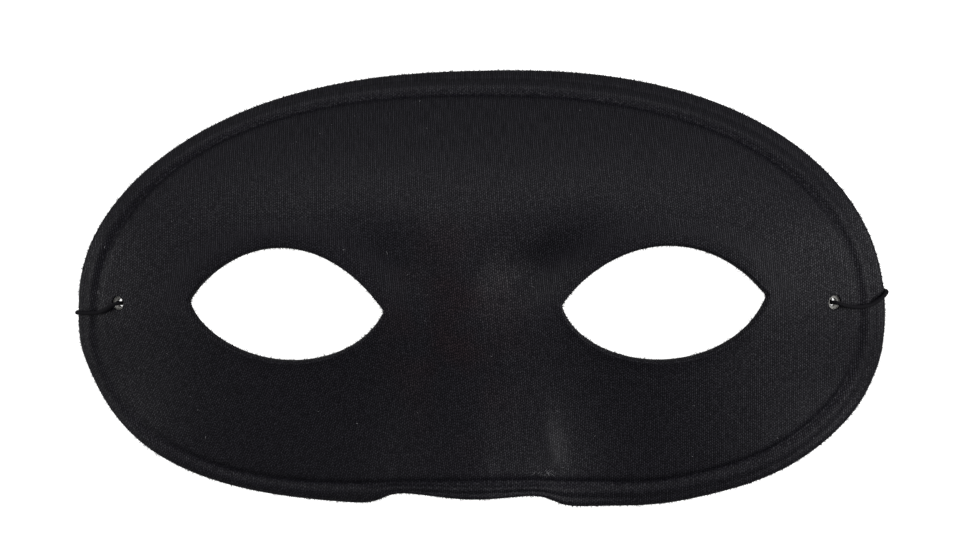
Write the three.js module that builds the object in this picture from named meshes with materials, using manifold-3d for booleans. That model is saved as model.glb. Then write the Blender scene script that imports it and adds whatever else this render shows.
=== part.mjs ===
// Domino mask: a press-moulded half mask of stiff sheet under black knit, with a round elastic.
// Millimetres, +Z up. The mask lies face up on its rim: +X is its right side in a front view,
// +Y points to the forehead, and z = 0 is the surface that it lies on.

import * as THREE from 'three';
import { mergeVertices } from 'three/addons/utils/BufferGeometryUtils.js';
import Module from 'manifold-3d';

const wasm = await Module();
wasm.setup();

// The two sides, which differ a little as pressed and cut by hand. Each half of the outline, seen
// from the front, is two half superellipses that meet at its widest level, and each eye opening is
// an almond, set by its middle, half length and rises.
const outlineTop = 48.5;
const outlineBottom = -47.3;
const rightSide = {
  sign: 1,
  halfWidth: 89.3,
  widestY: -6.6,
  foreheadPowers: [2.31, 2.1],
  cheekPowers: [3.64, 1.87],
  eye: { x: 40.5, y: -3, halfLength: 21.6, rise: 11.5, fall: 12.7, upper: 0.83, lower: 0.59, turn: 0.9 },
};
const leftSide = {
  sign: -1,
  halfWidth: 88.8,
  widestY: -2,
  foreheadPowers: [2.42, 1.82],
  cheekPowers: [3.27, 2.48],
  eye: { x: 41.1, y: -3.7, halfLength: 21.2, rise: 12.7, fall: 11.9, upper: 0.85, lower: 0.64, turn: 1.15 },
};
const eyeSpread = 1.15;
const unevenness = 0.026;

// The notch that the nose makes in the lower edge, and the dip of the nose's own edge inside it.
const notchDepth = 3.25;
const notchRight = 16.4;
const notchLeft = 20.4;
const notchBlend = 1.6;
const notchFade = 0.5;
const notchReach = 5;
const noseDip = 1.3;
const noseDipX = -0.7;
const noseDipWidth = 12.7;

// Form of the face, as heights of the front surface.
const browHeight = 23.6;
const wrapDepth = 20;
const wrapReach = 89.6;
const wrapPower = 2.8;
const browY = 10.5;
const browSoftness = 5;
const foreheadDrop = 21.9;
const foreheadLength = 36.9;
const foreheadPower = 1.55;
const cheekTopY = -5;
const cheekSlope = 0.27;
const cheekSoftness = 6;
const cheekEase = 0.55;
const cornerDrop = 2.8;
const cornerPlace = [85, -25];
const cornerSize = [16, 16];
const socketDepth = 2.35;
const socketUneven = 0.35;
const socketPlace = [17, 5.2];
const socketSize = [13.2, 7];
const socketTurn = 0.6;
const lidDepth = 0.3;
const lidPlace = [41, 10];
const lidSize = [24, 6];
const bagDepth = 1;
const bagPlace = [29, -27];
const bagSize = [12, 13];
const middleSoftness = 2;
const bridgeRise = 0.55;
const bridgeY = -9;
const bridgeSize = [12, 12.4];
const noseRootY = 5;
const noseSoftness = 4;
const noseHeight = 9.5;
const noseLength = 54;
const noseSwell = 1.75;
const noseRootWidth = 13.5;
const noseTipWidth = 20.5;
const nosePower = 2.6;
const ridgeHeight = 1.6;
const ridgeWidth = 4.8;

// Build-up: knit over core, with the small gap that glue would fill.
const knit = 0.5;
const glueGap = 0.3;
const core = 1.1;
const coreFront = -(knit + glueGap);
const coreBack = coreFront - core;
const hemInside = coreBack - glueGap;
const hemOutside = hemInside - knit;

// Pressed rim: a rolled edge, a bead and a groove that follow the whole outline.
const rimBand = 7;
const grooveIn = 5.4;
const grooveDepth = 0.65;
const grooveHalf = 1.05;
const beadIn = 1.8;
const beadRise = 0.25;
const eyeBand = 2.8;

// Elastic: its punched holes, its thickness and its knots, as half sizes with the last one along
// the hole.
const rightHole = [77.3, -3.7];
const leftHole = [-78.6, -2.8];
const knitHole = 3.1;
const coreHole = 1.9;
const elastic = 0.9;
const elasticSides = 8;
const stepsPerPoint = 2;
const knotHalves = [1.5, 1.3, 1.1];
const knotGap = 0.3;

// The elastic's route: up through the right hole, over the front and round the edge, slack under
// the forehead, and back to the left hole the same way.
const elasticRoute = [
  [76.55, -3.77, 7.95],
  [77.45, -3.8, 9.8],
  [78.5, -4.15, 9.9],
  [80.1, -4.6, 8.95],
  [82.7, -4.8, 7.45],
  [85.5, -4.35, 6.0],
  [87.5, -3.2, 5.15],
  [88.85, -1.9, 3.8],
  [89.05, -1.4, 2.1],
  [88.2, -1.1, 1.05],
  [86.6, 0.1, 0.7],
  [83.5, 4.2, 0.5],
  [76, 12.5, 0.5],
  [66, 18.5, 0.5],
  [55, 17, 0.5],
  [45.5, 20.5, 0.5],
  [37, 28.5, 0.5],
  [28, 32.5, 0.5],
  [19, 28.5, 0.5],
  [12.5, 20.5, 0.5],
  [4, 16.5, 0.5],
  [-5, 19.5, 0.5],
  [-12, 27.5, 0.5],
  [-21, 32.5, 0.5],
  [-31, 30, 0.5],
  [-39, 22.5, 0.5],
  [-49, 17, 0.5],
  [-62, 19.5, 0.5],
  [-74, 14, 0.5],
  [-81.6, 4.5, 0.5],
  [-85.2, -1.6, 0.6],
  [-87.0, -3.9, 0.7],
  [-88.2, -4.5, 1.0],
  [-88.7, -4.65, 1.8],
  [-88.6, -4.75, 3.35],
  [-87.35, -4.85, 5.0],
  [-85.4, -4.9, 6.0],
  [-83.2, -4.75, 7.15],
  [-81.3, -4.1, 8.35],
  [-79.8, -3.2, 9.3],
  [-78.75, -2.75, 9.2],
  [-77.85, -2.73, 7.35],
];

// Sections round the outer edge, as [distance inside the outline, height], from the front over
// the edge to the back. The knit's section goes on round its hem and back along its inner face.
const knitRim = [
  [rimBand, 0],
  [grooveIn + grooveHalf, -0.1],
  [grooveIn, -grooveDepth],
  [grooveIn - grooveHalf, 0.05],
  [beadIn, beadRise],
  [0.5, -0.4],
  [0, -1.4],
  [0.6, -2.4],
  [1.6, hemOutside],
  [rimBand, hemOutside],
  [rimBand, hemInside],
  [1.7, hemInside],
  [0.6, -1.4],
  [1.9, beadRise - knit],
  [grooveIn - grooveHalf, 0.05 - knit],
  [grooveIn, -grooveDepth - knit],
  [grooveIn + grooveHalf, -0.1 - knit],
  [rimBand, -knit],
];
const coreRim = [
  [rimBand, coreFront],
  [grooveIn + grooveHalf, coreFront - 0.1],
  [grooveIn, coreFront - grooveDepth],
  [grooveIn - grooveHalf, coreFront + 0.05],
  [beadIn + 0.3, coreFront + 0.2],
  [1.15, -1.4],
  [1.9, coreBack],
  [rimBand, coreBack],
];

// Sections round an eye opening, as [distance outside the opening, height], from the back over
// the edge to the front.
const knitEye = [
  [eyeBand, -knit],
  [1.7, -0.35],
  [0.6, -1.35],
  [1.2, hemInside],
  [eyeBand, hemInside],
  [eyeBand, hemOutside],
  [0.8, hemOutside],
  [0, -1.5],
  [0.35, -0.4],
  [1.5, 0.15],
  [eyeBand, 0],
];
const coreEye = [
  [eyeBand, coreBack],
  [1.6, coreBack],
  [1.15, -1.35],
  [1.8, coreFront + 0.1],
  [eyeBand, coreFront],
];

// Fineness of the faces.
const outlineSteps = 33;
const outlineCrowding = 1.45;
const middleSteps = 5;
const fieldSteps = 4;
const punchSides = 20;
const knotSides = 10;
const knotRings = 6;
const mergeWithin = 1e-4;

// Half the outline, from the forehead's middle round the side to the nose.
class HalfOutline extends THREE.Curve {
  constructor(side) {
    super();
    this.side = side;
    this.arcLengthDivisions = 2000;
  }

  getPoint(t) {
    const { halfWidth, widestY, foreheadPowers, cheekPowers } = this.side;
    const angle = (0.5 - t) * Math.PI;
    const upper = angle >= 0;
    const [powerX, powerY] = upper ? foreheadPowers : cheekPowers;
    const reach = (upper ? outlineTop : outlineBottom) - widestY;
    const x = halfWidth * Math.pow(Math.abs(Math.cos(angle)), 2 / powerX);
    const y = widestY + reach * Math.pow(Math.abs(Math.sin(angle)), 2 / powerY);
    return new THREE.Vector3(t > 0 && t < 1 ? x : 0, y, 0);
  }
}

// The direction out of the outline, from the superellipse's gradient.
function outwardAt(side, point) {
  const rise = point.y - side.widestY;
  const [powerX, powerY] = rise >= 0 ? side.foreheadPowers : side.cheekPowers;
  const reach = Math.abs((rise >= 0 ? outlineTop : outlineBottom) - side.widestY);
  const x = (powerX / side.halfWidth) * Math.pow(point.x / side.halfWidth, powerX - 1);
  const y = (powerY / reach) * Math.pow(Math.abs(rise) / reach, powerY - 1);
  return new THREE.Vector2(x, y * Math.sign(rise)).normalize();
}

// How far the lower edge is lifted: a step up at each end of the notch, less the dip of the nose.
function notchLift(x) {
  const rightStep = 1 + Math.exp((x - notchRight) / notchBlend);
  const leftStep = 1 + Math.exp((-x - notchLeft) / notchBlend);
  const dip = noseDip * Math.exp(-Math.pow((x - noseDipX) / noseDipWidth, 2));
  return notchDepth / (rightStep * leftStep) - dip;
}

// A distance that fades smoothly to nothing where it turns negative.
function eased(distance, softness) {
  return (Math.hypot(distance, softness) + distance) / 2;
}

function bell(x, y, [placeX, placeY], [sizeX, sizeY]) {
  return Math.exp(-Math.pow((x - placeX) / sizeX, 2) - Math.pow((y - placeY) / sizeY, 2));
}

// Height of the broad form that wraps round the face: brow, forehead, temples and cheeks.
function wrapHeight(x, y) {
  const across = Math.abs(x) / wrapReach;
  const wrap = wrapDepth * Math.pow(across, wrapPower);
  const above = eased(y - browY, browSoftness) / eased(foreheadLength, browSoftness);
  const forehead = foreheadDrop * Math.pow(above, foreheadPower);
  const cheek = cheekSlope * (1 - cheekEase * across * across) * eased(cheekTopY - y, cheekSoftness);
  const corner = cornerDrop * bell(Math.abs(x), y, cornerPlace, cornerSize);
  return browHeight - wrap - forehead - cheek - corner;
}

// How far the front lies below the broad form round the eyes: a slanted hollow between brow and
// nose, a faint one over the lid and a round one under the eye.
function eyeHollow(x, y) {
  const side = Math.hypot(x, middleSoftness);
  const place = new THREE.Vector2(side - socketPlace[0], y - socketPlace[1]);
  place.rotateAround(new THREE.Vector2(), -socketTurn);
  const depth = socketDepth + socketUneven * Math.tanh(x / (middleSoftness * 4));
  const socket = depth * bell(place.x, place.y, [0, 0], socketSize);
  return socket + lidDepth * bell(side, y, lidPlace, lidSize) + bagDepth * bell(side, y, bagPlace, bagSize);
}

// How far the nose stands out of the broad form: it widens and grows downwards, under a low bridge.
function noseRise(x, y) {
  const down = eased(noseRootY - y, noseSoftness) / noseLength;
  const noseWidth = noseRootWidth + (noseTipWidth - noseRootWidth) * down;
  const broad = noseHeight * Math.exp(-Math.pow(Math.abs(x) / noseWidth, nosePower));
  const ridge = ridgeHeight * Math.exp(-Math.pow(x / ridgeWidth, 2));
  return Math.pow(down, noseSwell) * (broad + ridge) + bridgeRise * bell(x, y, [0, bridgeY], bridgeSize);
}

function formHeight(x, y) {
  return wrapHeight(x, y) - eyeHollow(x, y) + noseRise(x, y);
}

// The point at height h over the front surface, along the normal of the broad form, so that
// the sheets stay parallel over the nose. Nothing reaches below the surface that it lies on.
function onForm(x, y, h) {
  const reach = 0.05;
  const slopeX = (wrapHeight(x + reach, y) - wrapHeight(x - reach, y)) / (2 * reach);
  const slopeY = (wrapHeight(x, y + reach) - wrapHeight(x, y - reach)) / (2 * reach);
  const normal = new THREE.Vector3(-slopeX, -slopeY, 1).normalize();
  const point = new THREE.Vector3(x, y, formHeight(x, y)).addScaledVector(normal, h);
  point.y *= 1 + (unevenness * point.x) / wrapReach;
  point.z = Math.max(point.z, 0);
  return point;
}

// Plan points of one half: its outline, and the middle line back up to the forehead.
function boundaryPoints(side) {
  const outline = new HalfOutline(side);
  const points = [];
  for (let k = 0; k <= outlineSteps; k += 1) {
    const along = 1 - Math.pow(1 - k / outlineSteps, outlineCrowding);
    const point = outline.getPointAt(along);
    points.push({ point, outward: outwardAt(side, point), onRim: true });
  }
  const top = insideRim(side, points[0], rimBand);
  const bottom = insideRim(side, points[outlineSteps], rimBand);
  for (let k = 1; k < middleSteps; k += 1) {
    const point = new THREE.Vector2().lerpVectors(bottom, top, k / middleSteps);
    points.push({ point, onRim: false });
  }
  return points;
}

// A plan point at the distance given inside the outline.
function insideRim(side, place, distance) {
  const x = place.point.x - place.outward.x * distance;
  const y = place.point.y - place.outward.y * distance;
  const lift = place.point.y < side.widestY ? notchLift(side.sign * place.point.x) : 0;
  const fade = 1 - notchFade * Math.min(Math.max(distance, 0) / notchReach, 1);
  return new THREE.Vector2(x, y + lift * fade);
}

// A plan point at the distance given outside the eye opening, in the direction of angle.
function outsideEye(eye, angle, distance) {
  const cosine = Math.cos(angle);
  const sine = Math.sin(angle);
  const power = 2 * (sine >= 0 ? eye.upper : eye.lower);
  const reach = sine >= 0 ? eye.rise : -eye.fall;
  const outward = new THREE.Vector2(cosine / eye.halfLength, sine / eye.rise).normalize();
  const x = eye.x + eye.halfLength * cosine + outward.x * distance;
  const lift = reach * Math.pow(Math.abs(sine), power) + eye.turn * cosine;
  return new THREE.Vector2(x, eye.y + lift + outward.y * distance);
}

// The angle on the eye opening that faces a plan point. The spread crowds its corners a little.
function eyeAngle(eye, point) {
  const across = (point.x - eye.x) / (eyeSpread * eye.halfLength);
  return Math.atan2((point.y - eye.y) / eye.rise, across);
}

// Adds the two faces of each cell of a grid of points. Each row has a level that grows from the
// eye to the outline, and every cell is split along the same diagonal, whichever way its rows run,
// so that facing sheets stay parallel. A mirrored grid turns its faces over.
function addGrid(corners, rows, closed, mirrored) {
  for (let i = 0; i + 1 < rows.length; i += 1) {
    const [row, nextRow] = [rows[i].points, rows[i + 1].points];
    const outward = rows[i + 1].level > rows[i].level;
    const last = closed ? row.length : row.length - 1;
    for (let j = 0; j < last; j += 1) {
      const next = (j + 1) % row.length;
      const cell = [row[j], row[next], nextRow[next], nextRow[j]];
      const [a, b, c, d] = outward ? cell : [cell[1], cell[2], cell[3], cell[0]];
      if (mirrored) {
        corners.push(a, c, b, a, d, c);
      } else {
        corners.push(a, b, c, a, c, d);
      }
    }
  }
}

// One closed shell of the mask from its sections at the outer edge and at the eye openings.
function shellGeometry(rimSection, eyeSection) {
  const frontHeight = rimSection[0][1];
  const backHeight = rimSection[rimSection.length - 1][1];
  const corners = [];
  for (const side of [rightSide, leftSide]) {
    const places = boundaryPoints(side);
    const rimPlaces = places.slice(0, outlineSteps + 1);
    const outerRing = places.map((place) => (place.onRim ? insideRim(side, place, rimBand) : place.point));
    const angles = outerRing.map((point) => eyeAngle(side.eye, point));
    const innerRing = angles.map((angle) => outsideEye(side.eye, angle, eyeBand));
    const lift = (plans, h) => plans.map((plan) => onForm(side.sign * plan.x, plan.y, h));
    const mirrored = side.sign < 0;
    const rim = rimSection.map(([distance, h]) => {
      const plans = rimPlaces.map((place) => insideRim(side, place, distance));
      return { level: -distance, points: lift(plans, h) };
    });
    const eye = eyeSection.map(([distance, h]) => {
      const plans = angles.map((angle) => outsideEye(side.eye, angle, distance));
      return { level: distance, points: lift(plans, h) };
    });
    const front = [];
    const back = [];
    for (let i = 0; i <= fieldSteps; i += 1) {
      const out = i / fieldSteps;
      const plans = innerRing.map((plan, j) => plan.clone().lerp(outerRing[j], out));
      front.push({ level: out, points: lift(plans, frontHeight) });
      back.unshift({ level: out, points: lift(plans, backHeight) });
    }
    addGrid(corners, rim, false, mirrored);
    addGrid(corners, eye, true, mirrored);
    addGrid(corners, front, true, mirrored);
    addGrid(corners, back, true, mirrored);
  }
  return mergeVertices(new THREE.BufferGeometry().setFromPoints(corners), mergeWithin);
}

function toSolid(geometry) {
  const merged = mergeVertices(bare(geometry), mergeWithin);
  const vertProperties = new Float32Array(merged.attributes.position.array);
  const triVerts = new Uint32Array(merged.index.array);
  return new wasm.Manifold(new wasm.Mesh({ numProp: 3, vertProperties, triVerts }));
}

function toGeometry(solid) {
  const mesh = solid.getMesh();
  const geometry = new THREE.BufferGeometry();
  geometry.setAttribute('position', new THREE.BufferAttribute(mesh.vertProperties, 3));
  geometry.setIndex(new THREE.BufferAttribute(mesh.triVerts, 1));
  return geometry;
}

// The same shape with positions only, so that shared corners can merge.
function bare(geometry) {
  geometry.deleteAttribute('normal');
  geometry.deleteAttribute('uv');
  return geometry;
}

// Punches the two elastic holes, each along the front's normal at its place.
function punched(geometry, diameter) {
  let solid = toSolid(geometry);
  for (const hole of [rightHole, leftHole]) {
    const from = onForm(...hole, hemOutside - 1);
    const to = onForm(...hole, 1);
    const length = from.distanceTo(to);
    const punch = new THREE.CylinderGeometry(diameter / 2, diameter / 2, length, punchSides);
    const up = new THREE.Vector3(0, 1, 0);
    const along = to.clone().sub(from).normalize();
    punch.applyQuaternion(new THREE.Quaternion().setFromUnitVectors(up, along));
    punch.translate(...from.clone().lerp(to, 0.5).toArray());
    solid = solid.subtract(toSolid(punch));
  }
  return toGeometry(solid);
}

// The route as a smooth curve. Its steps follow the route's own points, which crowd in the bends.
class ElasticCurve extends THREE.CatmullRomCurve3 {
  getUtoTmapping(u) {
    return u;
  }
}

function elasticGeometry() {
  const section = new THREE.Shape();
  for (let k = 0; k < elasticSides; k += 1) {
    const angle = (2 * Math.PI * k) / elasticSides;
    const corner = [(elastic / 2) * Math.cos(angle), (elastic / 2) * Math.sin(angle)];
    if (k === 0) {
      section.moveTo(...corner);
    } else {
      section.lineTo(...corner);
    }
  }
  section.closePath();
  const extrudePath = new ElasticCurve(elasticRoute.map((place) => new THREE.Vector3(...place)));
  const steps = stepsPerPoint * (elasticRoute.length - 1);
  return bare(new THREE.ExtrudeGeometry(section, { extrudePath, steps, bevelEnabled: false }));
}

// A knot of the elastic, close behind its hole.
function knotGeometry(hole) {
  const knot = new THREE.SphereGeometry(1, knotSides, knotRings).scale(...knotHalves);
  const centre = onForm(...hole, coreBack - knotGap - knotHalves[2]);
  const along = onForm(...hole, coreBack).sub(centre).normalize();
  const turn = new THREE.Quaternion().setFromUnitVectors(new THREE.Vector3(0, 0, 1), along);
  return bare(knot.applyQuaternion(turn).translate(...centre.toArray()));
}

function piece(name, geometry, color, roughness) {
  const material = new THREE.MeshStandardMaterial({ color, roughness, metalness: 0 });
  const mesh = new THREE.Mesh(geometry, material);
  mesh.name = name;
  return mesh;
}

const mask = new THREE.Group();
mask.add(piece('knit_cover', punched(shellGeometry(knitRim, knitEye), knitHole), 0x1b1a1f, 0.9));
mask.add(piece('moulded_core', punched(shellGeometry(coreRim, coreEye), coreHole), 0xb9b6ae, 0.85));

mask.add(piece('elastic_cord', elasticGeometry(), 0x151416, 0.8));
mask.add(piece('knot_right', knotGeometry(rightHole), 0x151416, 0.8));
mask.add(piece('knot_left', knotGeometry(leftHole), 0x151416, 0.8));

export default mask;
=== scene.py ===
import math

import bmesh
import bpy
import numpy as np
from mathutils import Matrix, Vector


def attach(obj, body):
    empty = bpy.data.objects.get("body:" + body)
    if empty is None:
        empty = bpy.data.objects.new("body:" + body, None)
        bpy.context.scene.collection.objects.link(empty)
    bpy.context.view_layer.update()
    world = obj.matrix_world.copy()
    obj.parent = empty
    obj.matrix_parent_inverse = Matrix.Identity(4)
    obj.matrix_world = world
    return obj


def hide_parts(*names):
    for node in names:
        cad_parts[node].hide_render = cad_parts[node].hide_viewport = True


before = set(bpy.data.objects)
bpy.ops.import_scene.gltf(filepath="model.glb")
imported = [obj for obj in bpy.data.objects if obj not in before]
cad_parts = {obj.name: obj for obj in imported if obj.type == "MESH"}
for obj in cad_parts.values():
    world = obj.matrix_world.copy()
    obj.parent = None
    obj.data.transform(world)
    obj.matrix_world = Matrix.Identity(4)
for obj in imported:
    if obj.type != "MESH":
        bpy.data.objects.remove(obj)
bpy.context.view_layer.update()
metre = 0.001  # the shapes below are worked out in millimetres
random = np.random.default_rng(41)
weld = {"tube": 1e-6, "shell": 2e-6}  # points closer than this are one, in metres

# Camera, as the photograph was taken: almost straight down, from a little to the right
photoCamera = {
    "target": (0.0, 0.0, 0.010),
    "distance": 0.600,
    "turnDeg": -2.573,
    "rollDeg": 0.459,
    "focalPixels": 2767.4,
    "targetPixel": (476.8, 287.85),
    "picture": (960, 556),
    "sensor": 36.0,
    "clip": (0.01, 20),
}


def makeCamera(sizes):
    turn, roll = math.radians(sizes["turnDeg"]), math.radians(sizes["rollDeg"])
    backward = Vector((-math.sin(turn), 0, math.cos(turn)))
    across = Vector((math.cos(turn), 0, math.sin(turn)))
    upright = Vector((0, 1, 0))
    right = across * math.cos(roll) - upright * math.sin(roll)
    upward = across * math.sin(roll) + upright * math.cos(roll)
    data = bpy.data.cameras.new("photoCamera")
    data.sensor_width = sizes["sensor"]
    width, height = sizes["picture"]
    data.lens = sizes["focalPixels"] / width * sizes["sensor"]
    data.shift_x = (width / 2 - sizes["targetPixel"][0]) / width
    data.shift_y = (sizes["targetPixel"][1] - height / 2) / width
    data.clip_start, data.clip_end = sizes["clip"]
    camera = bpy.data.objects.new("photoCamera", data)
    camera.matrix_world = Matrix((right, upward, backward)).transposed().to_4x4()
    camera.location = Vector(sizes["target"]) + backward * sizes["distance"]
    bpy.context.scene.collection.objects.link(camera)
    bpy.context.scene.camera = camera


makeCamera(photoCamera)
print("camera set")


# A mesh object from points in millimetres and faces, with an optional fabric map in millimetres and
# optional shares at each point, by name
def makeObject(name, points, faces, fabric=None, shares=None):
    mesh = bpy.data.meshes.new(name)
    mesh.from_pydata((np.asarray(points, float) * metre).tolist(), [], faces)
    if fabric is not None:
        corners = np.zeros(len(mesh.loops), np.int32)
        mesh.loops.foreach_get("vertex_index", corners)
        layer = mesh.uv_layers.new(name="fabric")
        layer.uv.foreach_set("vector", np.asarray(fabric, np.float32)[corners].ravel())
    for share, values in (shares or {}).items():
        layer = mesh.attributes.new(share, "FLOAT", "POINT")
        layer.data.foreach_set("value", np.asarray(values, np.float32))
    mesh.polygons.foreach_set("use_smooth", np.ones(len(mesh.polygons), bool))
    mesh.update()
    made = bpy.data.objects.new(name, mesh)
    bpy.context.scene.collection.objects.link(made)
    return made


# Quads of a grid of rows and columns whose first point has the index start
def gridFaces(rows, columns, start, closed, flipped):
    last = columns if closed else columns - 1
    i, j = np.meshgrid(np.arange(rows - 1), np.arange(last), indexing="ij")
    after = (j + 1) % columns
    here, below = i * columns, (i + 1) * columns
    cells = np.stack([here + j, here + after, below + after, below + j], -1).reshape(-1, 4) + start
    return cells[:, ::-1] if flipped else cells


# Centripetal Catmull-Rom curve through the route: each span is blended between its four nearest
# points, with knots spaced by the square root of the distance
def smoothRoute(route, steps):
    route = np.asarray(route, float)
    padded = np.vstack([2 * route[0] - route[1], route, 2 * route[-1] - route[-2]])
    s = np.linspace(0, 1, steps, endpoint=False)[:, None]
    made = []
    for p0, p1, p2, p3 in zip(padded, padded[1:], padded[2:], padded[3:]):
        d0, d1, d2 = (math.sqrt(np.linalg.norm(b - a)) for a, b in ((p0, p1), (p1, p2), (p2, p3)))
        t1 = ((p1 - p0) / d0 - (p2 - p0) / (d0 + d1) + (p2 - p1) / d1) * d1
        t2 = ((p2 - p1) / d1 - (p3 - p1) / (d1 + d2) + (p3 - p2) / d2) * d1
        made.append(p1 + s * t1 + s**2 * (3 * (p2 - p1) - 2 * t1 - t2) + s**3 * (2 * (p1 - p2) + t1 + t2))
    return np.vstack(made + [route[-1:]])


# Rings of a tube's rounded end, outermost first: how far out, and the share of the radius
tubeEnd = ((1, 0.02), (0.75, 0.66))
aslant = (0.3, 0.2, 0.93)  # a direction in which no tube starts


# Tube round a line: point + radius * (cos * one side + sin * the other), with the two sides carried
# along without twist, and both ends closed in a rounded tip, whose length is a share of the radius.
# The fabric map runs round and along it, in millimetres
def tubeAround(line, radius, sides, tip=0.5):
    line = np.asarray(line, float)
    tangents = np.gradient(line, axis=0)
    tangents /= np.linalg.norm(tangents, axis=1)[:, None]
    side = np.cross(tangents[0], aslant)
    frames = []
    for tangent in tangents:
        side = side - tangent * np.dot(side, tangent)
        side /= np.linalg.norm(side)
        frames.append((side, np.cross(tangent, side)))
    starts = [(-tip * out * radius, radius * grow) for out, grow in tubeEnd]
    rings = [(line[0] + tangents[0] * push, frames[0], size) for push, size in starts]
    rings += [(place, pair, radius) for place, pair in zip(line, frames)]
    rings += [(line[-1] - tangents[-1] * push, frames[-1], size) for push, size in starts[::-1]]
    around = np.linspace(0, 2 * np.pi, sides + 1)
    cosine, sine = np.cos(around)[:, None], np.sin(around)[:, None]
    points = [place + size * (cosine * a + sine * b) for place, (a, b), size in rings]
    centres = np.array([place for place, _, _ in rings])
    along = np.concatenate([[0], np.cumsum(np.linalg.norm(np.diff(centres, axis=0), axis=1))])
    fabric = np.stack(np.meshgrid(along, around * radius, indexing="ij")[::-1], -1)
    return np.vstack(points), fabric.reshape(-1, 2), len(rings)


def makeTube(name, line, radius, sides, tip=0.5):
    points, fabric, rings = tubeAround(line, radius, sides, tip)
    faces = gridFaces(rings, sides + 1, 0, False, True)
    tube = makeObject(name, points, faces.tolist(), fabric)
    mergePoints(tube, weld["tube"])
    return tube


def mergePoints(piece, within):
    shape = bmesh.new()
    shape.from_mesh(piece.data)
    bmesh.ops.remove_doubles(shape, verts=shape.verts, dist=within)
    bmesh.ops.holes_fill(shape, edges=[e for e in shape.edges if e.is_boundary], sides=64)
    bmesh.ops.recalc_face_normals(shape, faces=shape.faces)
    shape.to_mesh(piece.data)
    shape.free()


# Elastic: the same route as the solid's, up through the right hole, round the edge, slack under
# the forehead and back to the left hole
elasticSizes = {"diameter": 0.9, "sides": 12, "stepsPerSpan": 6}
elasticRoute = [
    (76.55, -3.77, 7.95), (77.45, -3.8, 9.8), (78.5, -4.15, 9.9), (80.1, -4.6, 8.95),
    (82.7, -4.8, 7.45), (85.5, -4.35, 6.0), (87.5, -3.2, 5.15), (88.85, -1.9, 3.8), (89.05, -1.4, 2.1),
    (88.2, -1.1, 1.05), (86.6, 0.1, 0.7), (83.5, 4.2, 0.5), (76, 12.5, 0.5), (66, 18.5, 0.5),
    (55, 17, 0.5), (45.5, 20.5, 0.5), (37, 28.5, 0.5), (28, 32.5, 0.5), (19, 28.5, 0.5),
    (12.5, 20.5, 0.5), (4, 16.5, 0.5), (-5, 19.5, 0.5), (-12, 27.5, 0.5), (-21, 32.5, 0.5),
    (-31, 30, 0.5), (-39, 22.5, 0.5), (-49, 17, 0.5), (-62, 19.5, 0.5), (-74, 14, 0.5),
    (-81.6, 4.5, 0.5), (-85.2, -1.6, 0.6), (-87.0, -3.9, 0.7), (-88.2, -4.5, 1.0), (-88.7, -4.65, 1.8),
    (-88.6, -4.75, 3.35), (-87.35, -4.85, 5.0), (-85.4, -4.9, 6.0), (-83.2, -4.75, 7.15),
    (-81.3, -4.1, 8.35), (-79.8, -3.2, 9.3), (-78.75, -2.75, 9.2), (-77.85, -2.73, 7.35),
]
elasticLine = smoothRoute(elasticRoute, elasticSizes["stepsPerSpan"])
elasticLength = float(np.linalg.norm(np.diff(elasticLine, axis=0), axis=1).sum())
elasticCord = makeTube("elasticCord", elasticLine, elasticSizes["diameter"] / 2, elasticSizes["sides"])
print("elastic laid,", round(elasticLength), "mm")

# Form of the face, as in the solids
face = {
    "outlineTop": 48.5, "outlineBottom": -47.3, "reach": 89.6, "unevenness": 0.026,
    "notchDepth": 3.25, "notchRight": 16.4, "notchLeft": 20.4, "notchBlend": 1.6,
    "notchFade": 0.88, "notchReach": 5.0,
    "noseDip": 1.3, "noseDipX": -0.7, "noseDipWidth": 12.7,
    "browHeight": 23.6, "wrapDepth": 20.0, "wrapPower": 2.8, "browY": 10.5, "browSoftness": 5.0,
    "foreheadDrop": 21.9, "foreheadLength": 36.9, "foreheadPower": 1.55,
    "cheekTopY": -5.0, "cheekSlope": 0.27, "cheekSoftness": 6.0, "cheekEase": 0.55,
    "cornerDrop": 2.8, "cornerPlace": (85, -25), "cornerSize": (16, 16),
    "socketDepth": 2.35, "socketUneven": 0.35, "socketBlend": 8.0,
    "socketPlace": (17, 5.2), "socketSize": (13.2, 7), "socketTurn": 0.6,
    "lidDepth": 0.3, "lidPlace": (41, 10), "lidSize": (24, 6),
    "bagDepth": 1.0, "bagPlace": (29, -27), "bagSize": (12, 13), "middleSoftness": 2.0,
    "bridgeRise": 0.55, "bridgePlace": (0, -9), "bridgeSize": (12, 12.4),
    "noseRootY": 5.0, "noseSoftness": 4.0, "noseHeight": 9.5, "noseLength": 54.0, "noseSwell": 1.75,
    "noseRootWidth": 13.5, "noseTipWidth": 20.5, "nosePower": 2.6, "ridgeHeight": 1.6, "ridgeWidth": 4.8,
}
# The two sides, which differ a little as pressed and cut by hand
halves = {
    1: {"halfWidth": 89.3, "widestY": -6.6, "foreheadPowers": (2.31, 2.1), "cheekPowers": (3.64, 1.87),
        "eye": (40.5, -3.0), "eyeHalfLength": 21.6, "eyeRise": 11.5, "eyeFall": 12.7,
        "eyeUpper": 0.83, "eyeLower": 0.59, "eyeTurn": 0.9,
        "outerCorner": 0.55, "innerCorner": 0.2, "bulges": ((-28, 9, 0.65), (-66, 6, 0.5), (-18, 5, 0.3))},
    -1: {"halfWidth": 88.8, "widestY": -2.0, "foreheadPowers": (2.42, 1.82), "cheekPowers": (3.27, 2.48),
         "eye": (41.1, -3.7), "eyeHalfLength": 21.2, "eyeRise": 12.7, "eyeFall": 11.9,
         "eyeUpper": 0.85, "eyeLower": 0.64, "eyeTurn": 1.15,
         "outerCorner": 0.0, "innerCorner": 0.4, "bulges": ((-15, 6, 0.6), (-8, 4, 0.2))},
}
# How wide the rays from the eye's middle spread, and how closely its corners are drawn out
eyeShape = {"spread": 1.15, "cornerPower": 40}

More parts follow.
